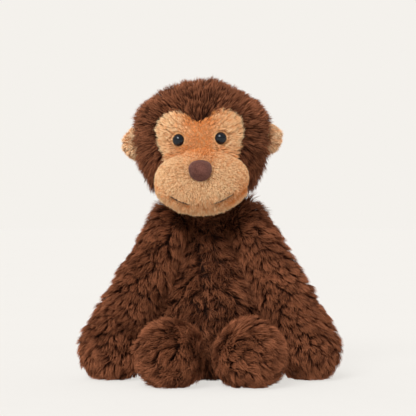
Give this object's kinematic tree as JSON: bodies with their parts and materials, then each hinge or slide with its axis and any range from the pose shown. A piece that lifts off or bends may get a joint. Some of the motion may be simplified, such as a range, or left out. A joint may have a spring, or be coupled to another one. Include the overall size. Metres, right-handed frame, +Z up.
{
  "type": "stuffed monkey",
  "caption": "Sitting plush monkey in shaggy dark brown plush with a tan face and muzzle, black button eyes, a flocked nose and soft jointed head, arms, legs and tail.",
  "frame": {"origin": "centre of the flat seat, on the surface the toy sits on", "axes": "+Z up, face towards -Y, the monkey's left at +X"},
  "size_m": [0.219, 0.2097, 0.261],
  "materials": {
    "brown_plush": "matte",
    "tan_plush": "matte",
    "ear_plush": "matte",
    "nose_flock": "matte",
    "dark_thread": "satin",
    "eye_plastic": "gloss",
    "washer_plastic": "matte",
    "fibre_stuffing": "matte",
    "pellet_bag_fabric": "matte",
    "pellet_plastic": "matte",
    "seam_fabric": "matte"
  },
  "bodies": {
    "torso": {"torso_front_panel": "brown_plush", "torso_back_panel_left": "brown_plush", "torso_back_panel_right": "brown_plush", "torso_base_panel": "brown_plush", "torso_stuffing": "fibre_stuffing", "seat_pellet_pouch": "pellet_bag_fabric", "seat_pellets": "pellet_plastic", "back_closing_stitch": "dark_thread", "hip_seam_left": "seam_fabric", "hip_seam_right": "seam_fabric", "tail_seam": "seam_fabric"},
    "neck": {"neck_stuffing": "fibre_stuffing", "neck_gather_ring": "dark_thread"},
    "head": {"head_panel_left": "brown_plush", "head_panel_right": "brown_plush", "head_crown_strip": "brown_plush", "head_stuffing": "fibre_stuffing", "face_panel": "tan_plush", "muzzle_upper_panel": "tan_plush", "muzzle_chin_panel": "tan_plush", "muzzle_stuffing": "fibre_stuffing", "nose": "nose_flock", "mouth_stitch": "dark_thread", "nose_to_mouth_stitch": "dark_thread", "eye_left": "eye_plastic", "eye_right": "eye_plastic", "eye_washer_left": "washer_plastic", "eye_washer_right": "washer_plastic", "ear_left_front": "ear_plush", "ear_left_back": "ear_plush", "ear_right_front": "ear_plush", "ear_right_back": "ear_plush"},
    "tail": {"tail_upper_panel": "brown_plush", "tail_lower_panel": "brown_plush", "tail_stuffing": "fibre_stuffing"},
    "shoulder_left": {"shoulder_seam_left": "seam_fabric"},
    "arm_left": {"arm_left_outer_panel": "brown_plush", "arm_left_inner_panel": "brown_plush", "arm_left_stuffing": "fibre_stuffing", "hand_left_pellet_bag": "pellet_bag_fabric"},
    "leg_left": {"leg_left_upper_panel": "brown_plush", "leg_left_sole_panel": "brown_plush", "leg_left_stuffing": "fibre_stuffing", "foot_left_pellet_bag": "pellet_bag_fabric"},
    "shoulder_right": {"shoulder_seam_right": "seam_fabric"},
    "arm_right": {"arm_right_outer_panel": "brown_plush", "arm_right_inner_panel": "brown_plush", "arm_right_stuffing": "fibre_stuffing", "hand_right_pellet_bag": "pellet_bag_fabric"},
    "leg_right": {"leg_right_upper_panel": "brown_plush", "leg_right_sole_panel": "brown_plush", "leg_right_stuffing": "fibre_stuffing", "foot_right_pellet_bag": "pellet_bag_fabric"}
  },
  "joints": [
    {"name": "neck_nod", "type": "hinge", "parent": "torso", "child": "neck", "pos_m": [-0.0035, -0.004, 0.1505], "axis": [1, 0, 0], "range_deg": [-12, 12]},
    {"name": "head_turn", "type": "hinge", "parent": "neck", "child": "head", "pos_m": [-0.0035, -0.004, 0.1505], "axis": [0, 0, 1], "range_deg": [-40, 40]},
    {"name": "arm_left_swing", "type": "hinge", "parent": "torso", "child": "shoulder_left", "pos_m": [0.03315, -0.008, 0.136], "axis": [-1, 0, 0], "range_deg": [-40, 75]},
    {"name": "arm_left_raise", "type": "hinge", "parent": "shoulder_left", "child": "arm_left", "pos_m": [0.03315, -0.008, 0.136], "axis": [0, -1, 0], "range_deg": [0, 75]},
    {"name": "arm_right_swing", "type": "hinge", "parent": "torso", "child": "shoulder_right", "pos_m": [-0.03315, -0.008, 0.136], "axis": [-1, 0, 0], "range_deg": [-40, 75]},
    {"name": "arm_right_raise", "type": "hinge", "parent": "shoulder_right", "child": "arm_right", "pos_m": [-0.03315, -0.008, 0.136], "axis": [0, 1, 0], "range_deg": [0, 75]},
    {"name": "leg_left_lift", "type": "hinge", "parent": "torso", "child": "leg_left", "pos_m": [0.033, -0.05425, 0.024], "axis": [-1, 0, 0], "range_deg": [-40, 30]},
    {"name": "leg_right_lift", "type": "hinge", "parent": "torso", "child": "leg_right", "pos_m": [-0.033, -0.05425, 0.024], "axis": [-1, 0, 0], "range_deg": [-40, 30]},
    {"name": "tail_swing", "type": "hinge", "parent": "torso", "child": "tail", "pos_m": [0, 0.05601, 0.01], "axis": [0, 0, 1], "range_deg": [-12, 50]}
  ]
}
